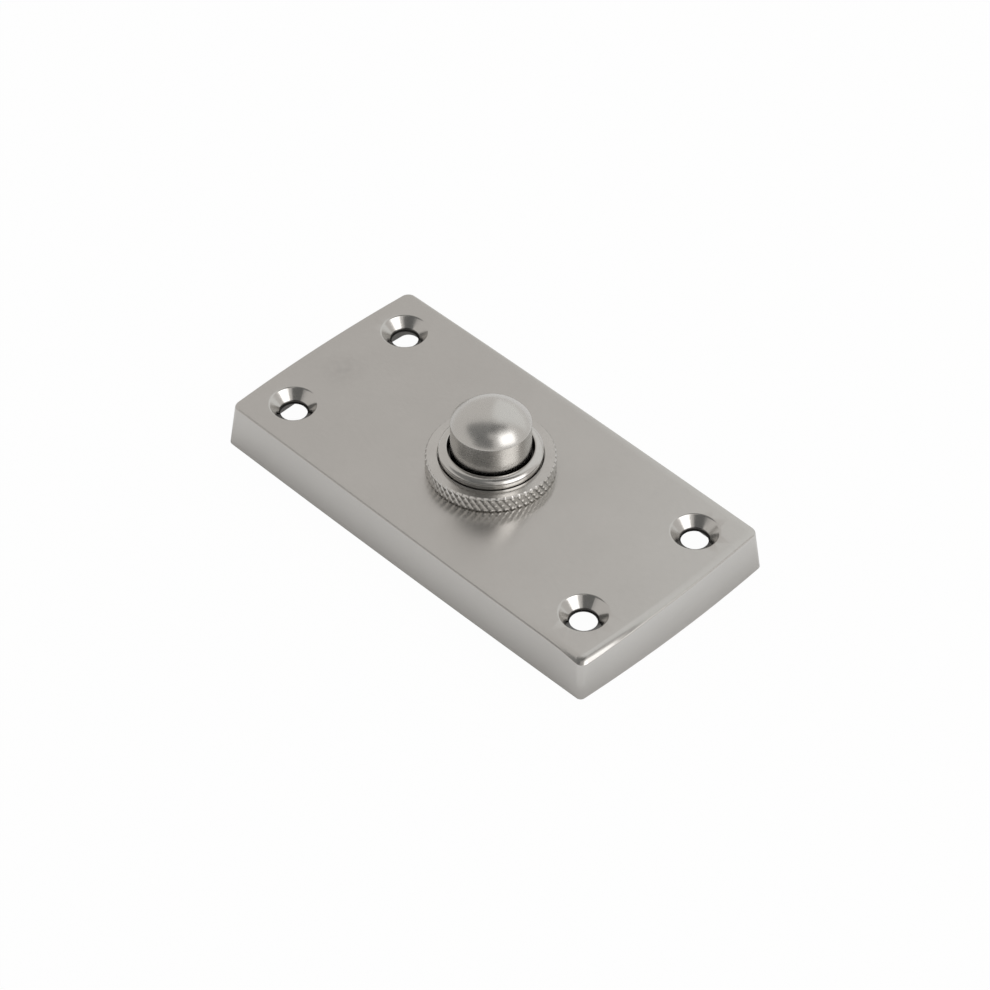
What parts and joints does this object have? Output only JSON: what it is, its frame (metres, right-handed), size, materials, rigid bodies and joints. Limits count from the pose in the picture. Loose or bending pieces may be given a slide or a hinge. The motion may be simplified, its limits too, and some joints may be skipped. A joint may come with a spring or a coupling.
{
  "type": "doorbell push button",
  "caption": "Rectangular cast metal doorbell push plate with a domed, sprung button in a knurled ring, countersunk fixing holes and a contact base inside its hollow back.",
  "frame": {"origin": "centre of the rectangular rim that meets the wall, in the plane of that rim", "axes": "+Z out of the face towards the finger, +X along the long side, +Y along the short side"},
  "size_m": [0.0792, 0.0402, 0.0205],
  "materials": {
    "satin_nickel_plate": "satin nickel plate, finely brushed, softly polished edges",
    "satin_nickel_turned": "satin nickel plate over turned brass, with turning marks",
    "satin_nickel_button": "satin nickel plate, brushed round the dome",
    "bare_brass": "bare turned and stamped brass",
    "contact_metal": "bright contact alloy",
    "white_nylon": "natural white nylon",
    "spring_steel": "bright drawn spring wire",
    "fibre": "red-brown vulcanised fibre",
    "dark_moulding": "black moulded resin, slightly dull",
    "plated_screws": "bright plated steel screws"
  },
  "bodies": {
    "plate_assembly": {"face_plate": "satin_nickel_plate", "barrel": "satin_nickel_turned", "knurled_ring": "satin_nickel_turned", "contact_strip_left": "bare_brass", "contact_strip_right": "bare_brass", "terminal_nut_left": "bare_brass", "terminal_nut_right": "bare_brass", "contact_rivet_left": "contact_metal", "contact_rivet_right": "contact_metal", "return_spring": "spring_steel", "lock_washer_left": "spring_steel", "lock_washer_right": "spring_steel", "rear_washer": "fibre", "insulator_base": "dark_moulding", "terminal_screw_left": "plated_screws", "terminal_screw_right": "plated_screws", "terminal_washer_left": "plated_screws", "terminal_washer_right": "plated_screws", "base_screw_left": "plated_screws", "base_screw_right": "plated_screws"},
    "push_button": {"button_cap": "satin_nickel_button", "plunger_stem": "bare_brass", "contact_bush": "white_nylon", "contact_disc": "contact_metal", "insulating_washer": "white_nylon", "stem_clip": "spring_steel"}
  },
  "joints": [
    {"name": "button_press", "type": "slide", "parent": "plate_assembly", "child": "push_button", "axis": [0, 0, -1], "range_m": [0, 0.0016], "stiffness_N_per_m": 400, "springref_m": -0.0025, "deforming": ["return_spring"]}
  ]
}
